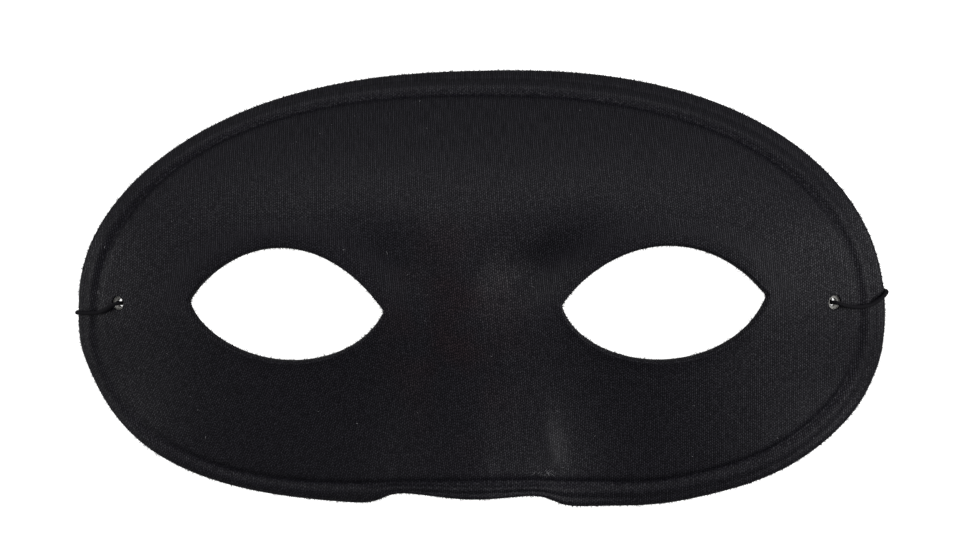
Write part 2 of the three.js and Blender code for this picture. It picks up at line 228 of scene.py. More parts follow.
# Rows and columns of the shells, each named for its part
mesh = {
    "samples": 4001, "outline": 264, "middle": 40, "front": 44, "inner": 10, "coreFaces": 30,
    "rimFront": 28, "roll": 13, "hem": 7, "hemInside": 5, "rimInside": 14, "eyeRoll": 11, "eyeFront": 12,
    "coreFront": 24, "coreTip": 7, "coreBack": 14, "coreEye": 6, "cloth": 17,
}


# A bell curve round nothing, exp(-(away / width)^2)
def hill(away, width):
    return np.exp(-((away / width) ** 2))


# The same over a place of the plan
def bell(x, y, place, size):
    return np.exp(-(((x - place[0]) / size[0]) ** 2) - ((y - place[1]) / size[1]) ** 2)


# A smooth step from 0 to 1 where the value turns positive, or negative with a negative softness
def step(value, softness):
    return 1 / (1 + np.exp(-value / softness))


# A distance that fades smoothly to nothing where it turns negative
def eased(distance, softness):
    return (np.hypot(distance, softness) + distance) / 2


# The same place seen along axes that are turned anticlockwise by the angle
def turned(across, along, angle):
    cosine, sine = math.cos(angle), math.sin(angle)
    return across * cosine + along * sine, along * cosine - across * sine


# Half the outline from the forehead's middle round the side to the nose, two half superellipses:
# x = half width * |cos|^(2/px), y = widest level + reach * |sin|^(2/py), stepped by length, with the
# direction out of it from the superellipse's gradient, and small bulges that way
def halfOutline(side, steps):
    half = halves[side]

    def powersAt(upper):
        return [np.where(upper, a, b) for a, b in zip(half["foreheadPowers"], half["cheekPowers"])]

    def reachAt(upper):
        return np.where(upper, face["outlineTop"], face["outlineBottom"]) - half["widestY"]

    angle = (0.5 - np.linspace(0, 1, mesh["samples"])) * np.pi
    powerX, powerY = powersAt(angle >= 0)
    x = half["halfWidth"] * np.abs(np.cos(angle)) ** (2 / powerX)
    x[[0, -1]] = 0
    y = half["widestY"] + reachAt(angle >= 0) * np.abs(np.sin(angle)) ** (2 / powerY)
    length = np.concatenate([[0], np.cumsum(np.hypot(np.diff(x), np.diff(y)))])
    along = np.linspace(0, length[-1], steps + 1)
    x, y = np.interp(along, length, x), np.interp(along, length, y)
    rise = y - half["widestY"]
    powerX, powerY = powersAt(rise >= 0)
    reach = np.abs(reachAt(rise >= 0))
    outX = powerX / half["halfWidth"] * (x / half["halfWidth"]) ** (powerX - 1)
    outY = powerY / reach * (np.abs(rise) / reach) ** (powerY - 1) * np.sign(rise)
    size = np.hypot(outX, outY)
    outX, outY = outX / size, outY / size
    direction = np.degrees(np.arctan2(y / face["outlineTop"], x / face["reach"]))
    out = sum(height * hill(direction - middle, width) for middle, width, height in half["bulges"])
    return x + out * outX * (x > 0), y + out * outY, outX, outY


# How far the lower edge is lifted: a smooth step up at each end of the notch, less the dip of the nose
def notchLift(x):
    rightStep = 1 + np.exp((x - face["notchRight"]) / face["notchBlend"])
    leftStep = 1 + np.exp((-x - face["notchLeft"]) / face["notchBlend"])
    dip = face["noseDip"] * hill(x - face["noseDipX"], face["noseDipWidth"])
    return face["notchDepth"] / (rightStep * leftStep) - dip


# Broad form: brow height less the wrap to the sides, the forehead's fall, the cheeks' slope and the
# lower corners' drop
def wrapHeight(x, y):
    across = np.abs(x) / face["reach"]
    wrap = face["wrapDepth"] * across ** face["wrapPower"]
    soft = face["browSoftness"]
    above = eased(y - face["browY"], soft) / eased(face["foreheadLength"], soft)
    forehead = face["foreheadDrop"] * above ** face["foreheadPower"]
    below = eased(face["cheekTopY"] - y, face["cheekSoftness"])
    cheek = face["cheekSlope"] * (1 - face["cheekEase"] * across**2) * below
    corner = face["cornerDrop"] * bell(np.abs(x), y, face["cornerPlace"], face["cornerSize"])
    return face["browHeight"] - wrap - forehead - cheek - corner


# Depth below the broad form round the eyes: a slanted hollow between brow and nose, a faint one over
# the lid and a round one under the eye
def eyeHollow(x, y):
    side = np.hypot(x, face["middleSoftness"])
    slanted = turned(side - face["socketPlace"][0], y - face["socketPlace"][1], face["socketTurn"])
    depth = face["socketDepth"] + face["socketUneven"] * np.tanh(x / face["socketBlend"])
    socket = depth * bell(*slanted, (0, 0), face["socketSize"])
    lid = face["lidDepth"] * bell(side, y, face["lidPlace"], face["lidSize"])
    return socket + lid + face["bagDepth"] * bell(side, y, face["bagPlace"], face["bagSize"])


# How far the nose stands out: it widens and grows downwards, under a low bridge
def noseRise(x, y):
    down = eased(face["noseRootY"] - y, face["noseSoftness"]) / face["noseLength"]
    width = face["noseRootWidth"] + (face["noseTipWidth"] - face["noseRootWidth"]) * down
    broad = face["noseHeight"] * np.exp(-((np.abs(x) / width) ** face["nosePower"]))
    ridge = face["ridgeHeight"] * hill(x, face["ridgeWidth"])
    bridge = face["bridgeRise"] * bell(x, y, face["bridgePlace"], face["bridgeSize"])
    return down ** face["noseSwell"] * (broad + ridge) + bridge


# Small marks that the pressing left, too fine for the solids: creases down the nose, the fold by the
# right nostril, a sharper right socket and a fuller brow between the eyes. Each has its place, half
# sizes across and along, turn in degrees and height
marks = [
    {"place": (6.0, -13.5), "size": (0.8, 9.0), "turn": 1, "height": 0.07},
    {"place": (9.6, -27.0), "size": (0.9, 7.5), "turn": 2, "height": -0.09},
    {"place": (16.2, -34.0), "size": (2.3, 7.0), "turn": 9, "height": 0.65},
    {"place": (15.8, -38.2), "size": (0.7, 1.4), "turn": -45, "height": 0.25},
    {"place": (17.6, -36.8), "size": (0.6, 1.6), "turn": 30, "height": 0.2},
    {"place": (-15.5, -31.0), "size": (2.4, 9.0), "turn": -10, "height": 0.14},
    {"place": (12.5, 4.0), "size": (8.5, 5.0), "turn": 25, "height": -1.65},
    {"place": (-2.5, 1.5), "size": (7.0, 6.5), "turn": 0, "height": 0.6},
    {"place": (-10.5, 3.5), "size": (6.5, 8.0), "turn": 0, "height": 0.6},
    {"place": (-6.0, -3.0), "size": (9.0, 11.0), "turn": 0, "height": 0.8},
    {"place": (-20.0, 9.0), "size": (6.0, 6.0), "turn": 0, "height": 0.25},
]


def markHeight(x, y):
    total = np.zeros_like(x)
    for mark in marks:
        placed = turned(x - mark["place"][0], y - mark["place"][1], math.radians(mark["turn"]))
        total = total + mark["height"] * bell(*placed, (0, 0), mark["size"])
    return total


def formHeight(x, y):
    return wrapHeight(x, y) - eyeHollow(x, y) + noseRise(x, y) + markHeight(x, y)


# The point at height h over the form, along the normal of the broad form, never below the floor. Its
# level grows a little towards the right side: y * (1 + unevenness * x / reach)
def onForm(x, y, h):
    reach = 0.05
    slopeX = (wrapHeight(x + reach, y) - wrapHeight(x - reach, y)) / (2 * reach)
    slopeY = (wrapHeight(x, y + reach) - wrapHeight(x, y - reach)) / (2 * reach)
    size = np.sqrt(slopeX**2 + slopeY**2 + 1)
    px = x - slopeX / size * h
    py = y - slopeY / size * h
    pz = np.maximum(formHeight(x, y) + h / size, 0)
    return np.stack([px, py * (1 + face["unevenness"] * px / face["reach"]), pz], -1)


# Plan points at the given distances inside the outline, as rows by columns
def insideRim(outline, side, distance):
    x, y, outX, outY = outline
    px = side * (x - outX * distance)
    py = y - outY * distance
    fade = 1 - face["notchFade"] * np.clip(distance / face["notchReach"], 0, 1)
    return px, py + np.where(y < halves[side]["widestY"], notchLift(side * x), 0) * fade


# Plan points at the given distances outside the eye opening, an almond: x = half length * cos and
# y = rise * |sin|^power, slanted by the turn, with its corners drawn out by a high power of cos
def outsideEye(side, angle, distance):
    half = halves[side]
    cosine, sine = np.cos(angle), np.sin(angle)
    power = 2 * np.where(sine >= 0, half["eyeUpper"], half["eyeLower"])
    reach = np.where(sine >= 0, half["eyeRise"], -half["eyeFall"])
    outX, outY = cosine / half["eyeHalfLength"], sine / half["eyeRise"]
    size = np.hypot(outX, outY)
    corner = np.where(cosine > 0, half["outerCorner"], -half["innerCorner"])
    corner = corner * cosine ** eyeShape["cornerPower"]
    px = half["eye"][0] + half["eyeHalfLength"] * cosine + outX / size * distance + corner
    py = half["eye"][1] + reach * np.abs(sine) ** power + half["eyeTurn"] * cosine + outY / size * distance
    return side * px, py


# The angle on the eye opening that faces a plan point
def eyeAngle(side, x, y):
    half = halves[side]
    across = (np.abs(x) - half["eye"][0]) / (eyeShape["spread"] * half["eyeHalfLength"])
    return np.arctan2((y - half["eye"][1]) / half["eyeRise"], across)


# Pressed rim: where its groove lies, how deep and wide it is, the bead outside it and the faint
# valley beside that, the layers and the roll of the edge
rim = {
    "band": 8.5, "edge": 1.5, "rollLevel": -1.3, "knit": 0.5, "glue": 0.3, "core": 1.1,
    "grooveIn": 4.9, "grooveDrift": 1.15, "driftDeg": 45.0, "grooveWaver": 0.35, "waverDeg": 70.0,
    "grooveAside": 0.9, "asidePower": 8, "grooveNose": 1.7, "noseDeg": -90.0, "noseSpread": 20,
    "grooveDepth": 0.6, "grooveWidth": 0.6, "wider": 0.5, "grooveNear": 1.5,
    "shallow": {1: (0.55, 0, 28), -1: (0.88, 197, 27)},
    "beadOut": 1.8, "beadRise": 0.28, "beadWidth": 0.95,
    "valleyOut": 3.25, "valleyDepth": 0.16, "valleyWidth": 0.5, "valleyFrom": 4.5, "valleyOver": 0.9,
}
# Turned hem: its ragged cut edge and its puckers, each from sines of the length round the mask, and
# how far beyond the edge its rows lie in the flat cloth
hem = {
    "level": -2.7, "in": 7.0, "ragged": 0.25, "raggedWaves": ((0.6, 1.7, 0), (0.4, 4.3, 1)), "fadeOver": 5,
    "puckers": 0.16, "puckerWave": 0.95, "puckerWander": 0.8, "wanderWave": 0.21, "rollFrom": 0.3,
    "cut": 0.1, "arcFlat": 1.45, "hemFlat": 4.5, "widthFlat": 5.5, "cutFlat": 10.3, "insideFlat": 10.5,
    "backFlat": 19,
}
# Edge of the eye openings: the front sinks towards it before the cloth rolls round it
lip = {"band": 3.4, "drop": 0.45, "under": -1.3, "roll": 0.6, "turnDeg": 22.0, "hemOut": 2.8}


# Three values round the rim, by direction from the middle: how far in the groove lies, with its drift
# and waver as cosines, a bell at the nose and cos^8 at the ends, how shallow it is, and how wide
def grooveInset(outline, side):
    direction = np.arctan2(outline[1] / face["outlineTop"], side * outline[0] / face["reach"])
    degrees = np.degrees(direction)
    drift = rim["grooveDrift"] * np.cos(direction - math.radians(rim["driftDeg"]))
    waver = rim["grooveWaver"] * np.cos(3 * (direction - math.radians(rim["waverDeg"])))
    waver = waver + rim["grooveNose"] * hill(degrees - rim["noseDeg"], rim["noseSpread"])
    inset = rim["grooveIn"] + drift + waver + rim["grooveAside"] * np.cos(direction) ** rim["asidePower"]
    share, middle, width = rim["shallow"][side]
    away = (degrees - middle + 180) % 360 - 180
    return inset, share * hill(away, width), 1 + rim["wider"] * np.sin(direction) ** 2


# Height of the front near the rim, by distance inside the outline: groove, bead and faint valley,
# each a bell curve
def rimRelief(distance, inset, shallow, wide):
    away = distance - inset
    groove = rim["grooveDepth"] * (1 - shallow) * hill(away, rim["grooveWidth"] * (wide + shallow))
    bead = rim["beadRise"] * hill(away + rim["beadOut"], rim["beadWidth"])
    fade = np.clip((inset - rim["valleyFrom"]) / rim["valleyOver"], 0, 1)
    return bead - groove - rim["valleyDepth"] * hill(away + rim["valleyOut"], rim["valleyWidth"]) * fade


# Height of the front near an eye opening, by distance outside it: a parabola that sinks to the edge
# over the eye and rises a little to it under the eye
def lipRelief(distance, angle):
    drop = lip["drop"] * (lip["under"] + (1 - lip["under"]) * (1 + np.sin(angle)) / 2)
    return -drop * (np.clip(lip["band"] - distance, 0, None) / lip["band"]) ** 2


# Three arrays of rows by columns from rows of (distance, height, distance in the flat cloth)
def stackRows(rows, columns):
    return [np.array([np.broadcast_to(row[k], columns) for row in rows], float) for k in range(3)]


# Plan of one half's front between two closed rings: the eye's lip, and the rim's band with the middle
def frontRings(side, outline):
    ringX, ringY = insideRim(outline, side, rim["band"])
    middleY = np.linspace(ringY[-1], ringY[0], mesh["middle"] + 1)[1:-1]
    outerX = np.concatenate([ringX, np.zeros_like(middleY)])
    outerY = np.concatenate([ringY, middleY])
    angle = eyeAngle(side, outerX, outerY)
    innerX, innerY = outsideEye(side, angle, lip["band"])
    return angle, (innerX, innerY), (outerX, outerY)


farOff = 99  # so far from the groove that it doesn't show


# One closed shell of two halves. rimRows and eyeRows give rows of distance, height and distance in
# the flat cloth, and front and back are the heights of the two broad faces
def makeShell(name, rimRows, eyeRows, front, back, steps):
    points, fabric, pulls, grooveShades, faces, count = [], [], [], [], [], 0
    for side in (1, -1):
        outline = halfOutline(side, mesh["outline"])
        angle, inner, outer = frontRings(side, outline)
        distance, height, flat = stackRows(rimRows(outline, side), len(outline[0]))
        inset, shallow, _ = grooveInset(outline, side)
        away = (distance - inset) * np.where(height > rim["rollLevel"], 1, farOff)
        plan, flatPlan = insideRim(outline, side, distance), insideRim(outline, side, flat)
        parts = [(plan, height, flatPlan, False, away, 1 - shallow)]
        distance, height, flat = stackRows(eyeRows(angle), len(angle))
        plan, flatPlan = outsideEye(side, angle, distance), outsideEye(side, angle, flat)
        parts.append((plan, height, flatPlan, True, farOff, 1))
        for level, rows, order in ((front, steps[0], 1), (back, steps[1], -1)):
            out = np.linspace(0, 1, rows + 1)[::order, None]
            plan = [a + (b - a) * out for a, b in zip(inner, outer)]
            parts.append((plan, np.full_like(plan[0], level), plan, True, farOff, 1))
        for (x, y), height, (flatX, flatY), closed, away, depth in parts:
            points.append(onForm(x, y, height).reshape(-1, 3))
            fabric.append(fabricPlace(flatX, flatY).reshape(-1, 2))
            near = hill(np.broadcast_to(away, x.shape), rim["grooveNear"])
            pulls.append((clothPull(side, x, y) * (1 - near)).ravel())
            # this share sets painted shade: it dims the cloth's gloss along the rim groove
            grooveShades.append((near**4 * depth).ravel())
            faces.append(gridFaces(*x.shape, count, closed, side < 0))
            count += x.size
    faces = np.vstack(faces).tolist()
    shares = {"pull": np.concatenate(pulls), "groove": np.concatenate(grooveShades)}
    shell = makeObject(name, np.vstack(points), faces, np.vstack(fabric), shares)
    mergePoints(shell, weld["shell"])
    return shell


# How far the cloth is pulled lengthwise, so that its courses fade: beyond a level of the forehead,
# and in a band over each eye, a bell of the distance from a larger almond
pulled = {
    "foreheadY": 26, "foreheadSoftness": 4,
    "lidShare": 0.7, "lidOut": 4, "lidWidth": 0.1, "lidSoftness": 0.125,
}


def clothPull(side, x, y):
    half = halves[side]
    forehead = step(y - pulled["foreheadY"], pulled["foreheadSoftness"])
    across = (np.abs(x) - half["eye"][0]) / (half["eyeHalfLength"] + pulled["lidOut"])
    along = (y - half["eye"][1]) / (half["eyeRise"] + pulled["lidOut"])
    lid = hill(np.hypot(across, along) - 1, pulled["lidWidth"]) * step(along, pulled["lidSoftness"])
    return np.clip(forehead + pulled["lidShare"] * lid, 0, 1)


# How much the wales lean, as a share of the height: everywhere, and more or less on the left cheek, the
# right cheek and the left brow. Each of these lies beyond a place along x and along y, given with the
# softness of the step there
evenLean = 0.105
leans = [
    {"more": 0.2, "x": (-38, -9), "y": (-6, -7)},
    {"more": -0.1, "x": (28, 9), "y": (-2, -7)},
    {"more": -0.08, "x": (-20, -14), "y": (4, 7)},
]


# Where a place of the mask lies in the flat cloth: across its wales, which lean as the cloth was
# pulled, and along them, by the length over the form up from the level of the eyes
def fabricPlace(x, y):
    samples = y[..., None] * np.linspace(0, 1, mesh["cloth"])
    heights = formHeight(np.broadcast_to(x[..., None], samples.shape), samples)
    along = np.sign(y) * np.hypot(np.diff(heights, axis=-1), np.diff(samples, axis=-1)).sum(-1)
    lean = evenLean
    for area in leans:
        (middleX, softX), (middleY, softY) = area["x"], area["y"]
        lean = lean + area["more"] * step(x - middleX, softX) * step(y - middleY, softY)
    return np.stack([x + lean * y, along], -1)


# Cover's rim: in from the band over groove and bead, round the edge, along the hem to its cut
# edge, and back inside a cloth's thickness
def coverRim(outline, side):
    inset, shallow, wide = grooveInset(outline, side)
    edge, knit, level, under = rim["edge"], rim["knit"], rim["rollLevel"], hem["level"]

    def front(distance):
        return rimRelief(distance, inset, shallow, wide)

    length = np.concatenate([[0], np.cumsum(np.hypot(np.diff(outline[0]), np.diff(outline[1])))])
    fade = np.clip(np.minimum(length, length[-1] - length) / hem["fadeOver"], 0, 1)
    waves = [share * np.sin(length * wave + shift * side) for share, wave, shift in hem["raggedWaves"]]
    hemIn = hem["in"] + hem["ragged"] * sum(waves) * fade
    wander = hem["puckerWander"] * np.sin(length * hem["wanderWave"])
    pucker = hem["puckers"] * fade * np.maximum(np.sin(length * hem["puckerWave"] + wander), 0) ** 2
    rows = [(d, front(d), d) for d in np.linspace(rim["band"], edge + hem["rollFrom"], mesh["rimFront"])]
    roll = np.linspace(0, np.pi, mesh["roll"])
    for turn in roll:
        far = front(edge) if turn < np.pi / 2 else 2 * level - under
        height = level + (far - level) * np.cos(turn)
        rows.append((edge - edge * np.sin(turn), height, edge - hem["arcFlat"] * turn))
    for share in np.linspace(0, 1, mesh["hem"])[1:]:
        flat = edge - hem["hemFlat"] - hem["widthFlat"] * share
        rows.append((edge + (hemIn - edge) * share, under - pucker * share, flat))
    rows.append((hemIn + hem["cut"], under + knit / 2, edge - hem["cutFlat"]))
    for share in np.linspace(1, 0, mesh["hemInside"]):
        flat = edge - hem["insideFlat"] - hem["widthFlat"] * (1 - share)
        rows.append((edge + (hemIn - edge) * share, under + knit, flat))
    for turn in roll[::-2][1:]:
        far = front(edge) - knit if turn < np.pi / 2 else 2 * level - under - knit
        height = level + (far - level) * np.cos(turn)
        rows.append((edge - (edge - knit) * np.sin(turn), height, edge - hem["backFlat"] + turn))
    inside = np.linspace(edge + hem["rollFrom"], rim["band"], mesh["rimInside"])
    return rows + [(d, front(d) - knit, edge - hem["backFlat"]) for d in inside]


# Cover's eye edge: from its inside round under the edge, out over the roll to the front
def coverEye(angle):
    knit, under = rim["knit"], hem["level"]
    first = math.radians(lip["turnDeg"])
    start = lip["roll"] * (1 - math.sin(first))
    rise = (lipRelief(start, angle) - under) / (1 + math.cos(first))
    level = under + rise
    turns = np.linspace(first, np.pi, mesh["eyeRoll"])
    front = np.linspace(start, lip["band"], mesh["eyeFront"])[1:]
    rows = [(d, lipRelief(d, angle) - knit, lip["band"]) for d in front[::-2]]
    for turn in turns[::2]:
        distance = lip["roll"] - (lip["roll"] - knit) * np.sin(turn)
        rows.append((distance, level + (rise - knit) * np.cos(turn), lip["band"]))
    for push, height in ((0, knit), (hem["cut"], knit / 2), (0, 0)):
        rows.append((lip["hemOut"] + push, under + height, lip["band"]))
    for turn in turns[::-1]:
        flat = start - lip["roll"] * (turn - first)
        rows.append((lip["roll"] * (1 - np.sin(turn)), level + rise * np.cos(turn), flat))
    return rows + [(d, lipRelief(d, angle), d) for d in front]


cover = makeShell("coverCloth", coverRim, coverEye, 0.0, -rim["knit"], (mesh["front"], mesh["inner"]))
print("cover formed,", len(cover.data.polygons), "faces")


# Core's rim and eye edge: the same pressing a cloth and a glue line lower
coreFront = -(rim["knit"] + rim["glue"])
coreBack = coreFront - rim["core"]
coreEdge = {"centre": 1.65, "reach": 0.5, "from": 1.9, "firstTurn": 0.2, "lastTurn": np.pi - 0.1}


# Rows round the core's rounded edge, sunk by the drop given
def coreTip(drop):
    middle, half = (coreFront + coreBack) / 2 + drop, rim["core"] / 2
    rows = []
    for turn in np.linspace(coreEdge["firstTurn"], coreEdge["lastTurn"], mesh["coreTip"]):
        rows.append((coreEdge["centre"] - coreEdge["reach"] * np.sin(turn), middle + half * np.cos(turn), 1))
    return rows


def coreRim(outline, side):
    groove = grooveInset(outline, side)
    front = np.linspace(rim["band"], coreEdge["from"], mesh["coreFront"])
    back = np.linspace(coreEdge["from"], rim["band"], mesh["coreBack"])
    rows = [(d, rimRelief(d, *groove) + coreFront, d) for d in front]
    return rows + coreTip(0) + [(d, coreBack, d) for d in back]


def coreEye(angle):
    out = np.linspace(coreEdge["from"], lip["band"], mesh["coreEye"])
    rows = [(d, coreBack + lipRelief(d, angle), d) for d in out[::-1]]
    rows += coreTip(lipRelief(coreEdge["centre"], angle))[::-1]
    return rows + [(d, coreFront + lipRelief(d, angle), d) for d in out]


core = makeShell("pressedCore", coreRim, coreEye, coreFront, coreBack, (mesh["coreFaces"],) * 2)
print("core formed,", len(core.data.polygons), "faces")

# Punched holes for the elastic, along the front's normal at their places
holes = {
    "place": {1: (77.3, -3.7), -1: (-78.6, -2.8)}, "cover": 3.1, "core": 1.9, "through": (-4.0, 1.5),
    "sides": 40, "tip": 0.01,
}


# Each hole is cut by a round bar through the piece
def punch(piece, diameter):
    for side in (1, -1):
        x, y = holes["place"][side]
        low, high = (onForm(np.array(x), np.array(y), np.array(h)) for h in holes["through"])
        line = np.linspace(low, high, 4)
        points, _, rings = tubeAround(line, diameter / 2, holes["sides"], holes["tip"])
        faces = gridFaces(rings, holes["sides"] + 1, 0, False, True).tolist()
        cutter = makeObject("punch", points, faces)
        mergePoints(cutter, weld["tube"])
        cut = piece.modifiers.new("punch", "BOOLEAN")
        cut.object = cutter
        cut.operation = "DIFFERENCE"
        cut.solver = "EXACT"
        with bpy.context.temp_override(object=piece, active_object=piece, selected_objects=[piece]):
            bpy.ops.object.modifier_apply(modifier=cut.name)
        bpy.data.objects.remove(cutter)


punch(cover, holes["cover"])
punch(core, holes["core"])
print("holes punched")

# Knots behind the holes: an overhand knot with a short tail, each on the end of the elastic
knotSizes = {
    "size": 0.36, "depth": 0.55, "radius": 0.42, "back": 1.35, "open": 0.5, "turnDeg": 35, "points": 26,
    "lead": (0.45, 0.55), "tail": ((0.7, -0.6, -0.25), (1.3, -1.6, -0.6), (1.5, -2.9, -1.0)),
    "stepsPerSpan": 4, "sides": 12,
}


# A trefoil cut open at one lobe: (sin t + 2 sin 2t, cos t - 2 cos 2t, -sin 3t), scaled, with the
# elastic's end before it and a tail after it
def makeKnot(name, side, end):
    t = np.linspace(knotSizes["open"] - np.pi, np.pi - knotSizes["open"], knotSizes["points"])
    loop = np.stack([np.sin(t) + 2 * np.sin(2 * t), np.cos(t) - 2 * np.cos(2 * t), -np.sin(3 * t)], -1)
    x, y, z = (loop * (knotSizes["size"], knotSizes["size"], knotSizes["depth"])).T
    x, y = turned(x, y, -math.radians(knotSizes["turnDeg"]))
    holeX, holeY = holes["place"][side]
    centre = onForm(np.array(holeX), np.array(holeY), np.array(coreBack - knotSizes["back"]))
    line = np.stack([x * side, y, z], -1) + centre
    lead = np.array(end) * knotSizes["lead"][0] + line[0] * knotSizes["lead"][1]
    tail = line[-1] + np.array(knotSizes["tail"]) * (side, 1, 1)
    route = smoothRoute(np.vstack([end, lead, line, tail]), knotSizes["stepsPerSpan"])
    return makeTube(name, route, knotSizes["radius"], knotSizes["sides"])


knots = [makeKnot("knotRight", 1, elasticRoute[0]), makeKnot("knotLeft", -1, elasticRoute[-1])]
print("knots tied")


acrossFibre = (0.31, 0.17, 0.53)  # keeps a fibre's sides apart from its direction


# Loose fibres: closed three-sided tubes that thin to a quarter at their tips. Each ring's centre lies
# at root + s * length * direction + s^2 * length * bend
def makeFibres(name, roots, directions, bends, lengths, radii, rings=4, thinning=0.75):
    count = len(roots)
    share = np.linspace(0, 1, rings)[None, :, None]
    reach = lengths[:, None, None]
    centres = roots[:, None] + share * reach * directions[:, None] + share**2 * reach * bends[:, None]
    side = np.cross(directions, bends + acrossFibre)
    side /= np.linalg.norm(side, axis=1)[:, None]
    other = np.cross(directions, side)
    around = np.arange(3) * 2 * np.pi / 3
    spokes = np.cos(around)[None, :, None] * side[:, None] + np.sin(around)[None, :, None] * other[:, None]
    size = radii[:, None, None, None] * (1 - thinning * share[..., None])
    points = centres[:, :, None] + size * spokes[:, None]
    i, k = np.meshgrid(np.arange(rings - 1), np.arange(3), indexing="ij")
    after = (k + 1) % 3
    walls = np.stack([i * 3 + k, i * 3 + after, (i + 1) * 3 + after, (i + 1) * 3 + k], -1).reshape(-1, 4)
    ends = np.array([[2, 1, 0], [rings * 3 - 3, rings * 3 - 2, rings * 3 - 1]])
    starts = np.arange(count)[:, None, None] * rings * 3
    faces = (walls + starts).reshape(-1, 4).tolist() + (ends + starts).reshape(-1, 3).tolist()
    return makeObject(name, points.reshape(-1, 3), faces)


# Fuzz on the cloth's edges, and frayed threads round the elastic's holes: counts, lengths and half
# thicknesses, and the ranges of the turn round the rolled edge where they stand
fuzz = {
    "rim": 3400, "eye": 700, "hole": 34, "length": (0.2, 0.6), "radius": 0.07, "sunk": 0.1,
    "floorReach": 1.2, "disorder": 0.45, "bend": 0.35,
    "outlineSteps": 2000, "spared": 5, "rimTurn": (0.5, 2.4),
    "eyeTurn": (0.8, 2.2), "eyeLevel": -1.45, "eyeRise": 1.2,
    "holeLevel": (-0.4, 0.0), "holeSlant": (-0.2, 0.9),
}


# Places on the outer roll of a side and the directions straight out of it, from its middle line
def rimPlaces(side, count):
    outline = np.stack(halfOutline(side, fuzz["outlineSteps"]))
    picked = outline[:, random.integers(fuzz["spared"], fuzz["outlineSteps"] - fuzz["spared"], count)]
    turn = random.uniform(*fuzz["rimTurn"], count)
    hub = onForm(*insideRim(picked, side, rim["edge"]), rim["rollLevel"])
    reach = rim["edge"] * (1 - np.sin(turn))
    skin = onForm(*insideRim(picked, side, reach), rim["rollLevel"] * (1 - np.cos(turn)))
    return skin, skin - hub


# The same on the roll round an eye
def eyePlaces(side, count):
    angle = random.uniform(0, 2 * np.pi, count)
    turn = random.uniform(*fuzz["eyeTurn"], count)
    hub = onForm(*outsideEye(side, angle, lip["roll"]), rim["rollLevel"])
    level = fuzz["eyeLevel"] + fuzz["eyeRise"] * np.cos(turn)
    skin = onForm(*outsideEye(side, angle, lip["roll"] * (1 - np.sin(turn))), level)
    return skin, skin - hub


# The same on the edge of a punched hole, with the directions inwards
def holePlaces(side, count):
    angle = random.uniform(0, 2 * np.pi, count)
    out = np.stack([np.cos(angle), np.sin(angle)], -1)
    place = np.array(holes["place"][side]) + out * holes["cover"] / 2
    skin = onForm(place[:, 0], place[:, 1], random.uniform(*fuzz["holeLevel"], count))
    inward = np.stack([-out[:, 0], -out[:, 1], random.uniform(*fuzz["holeSlant"], count)], -1)
    return skin, inward


# Fuzz: each fibre's direction is pulled off the straight at random, and near the floor it turns up
def makeFuzz():
    kinds = (("rim", rimPlaces), ("eye", eyePlaces), ("hole", holePlaces))
    found = [place(side, fuzz[kind]) for kind, place in kinds for side in (1, -1)]
    roots = np.vstack([a for a, _ in found])
    directions = np.vstack([b for _, b in found])
    directions = directions / np.linalg.norm(directions, axis=1)[:, None]
    directions = directions + random.normal(0, fuzz["disorder"], directions.shape)
    directions /= np.linalg.norm(directions, axis=1)[:, None]
    bends = random.normal(0, fuzz["bend"], directions.shape)
    low = roots[:, 2] < fuzz["floorReach"]
    directions[low, 2], bends[low, 2] = np.abs(directions[low, 2]), np.abs(bends[low, 2])
    roots = roots - directions * fuzz["sunk"]
    lengths = random.uniform(*fuzz["length"], len(roots))
    return makeFibres("clothFuzz", roots, directions, bends, lengths, np.full(len(roots), fuzz["radius"]))


clothFuzz = makeFuzz()
print("edges frayed")

# Lint: the larger bits of fluff lie where they were seen, as place, length and turn in degrees, with a
# tuft by the right nostril, and small flecks are strewn over the front
lint = {
    "radius": 0.075, "flecks": 60, "fleckLength": (0.12, 0.35), "fleckRadius": (0.03, 0.06),
    "tuft": 34, "tuftPlace": (14.9, -39.5), "tuftSpread": (1.1, 0.55), "tuftTurn": (0.9, 0.7),
    "tuftLength": (0.3, 1.1), "tuftRadius": (0.015, 0.035),
    "height": 0.04, "bend": 0.2, "flatness": (1, 1, 0.2),
}
lintPlaces = [
    (-18.6, 7.8, 1.2, 102), (22.7, 38.1, 0.5, 20), (3.7, 43.8, 0.5, 100), (-27.8, 8.4, 0.4, 0),
    (-81.5, 9.8, 0.5, 60), (36.6, 16.1, 0.4, 140), (-14.2, 2.9, 0.4, 30), (-83.3, -0.3, 0.6, 90),
    (-25.7, -29.1, 0.4, 10), (51.7, 12.4, 0.3, 45), (-79.8, 7.8, 0.4, 120), (-59.1, -32.5, 0.5, 70),
    (15.5, -39.5, 0.9, 75), (64.6, -32.3, 0.4, 160), (-12.2, 41.0, 0.4, 60), (-65.8, 15.3, 0.3, 20),
    (72.7, -32.4, 0.4, 100),
]


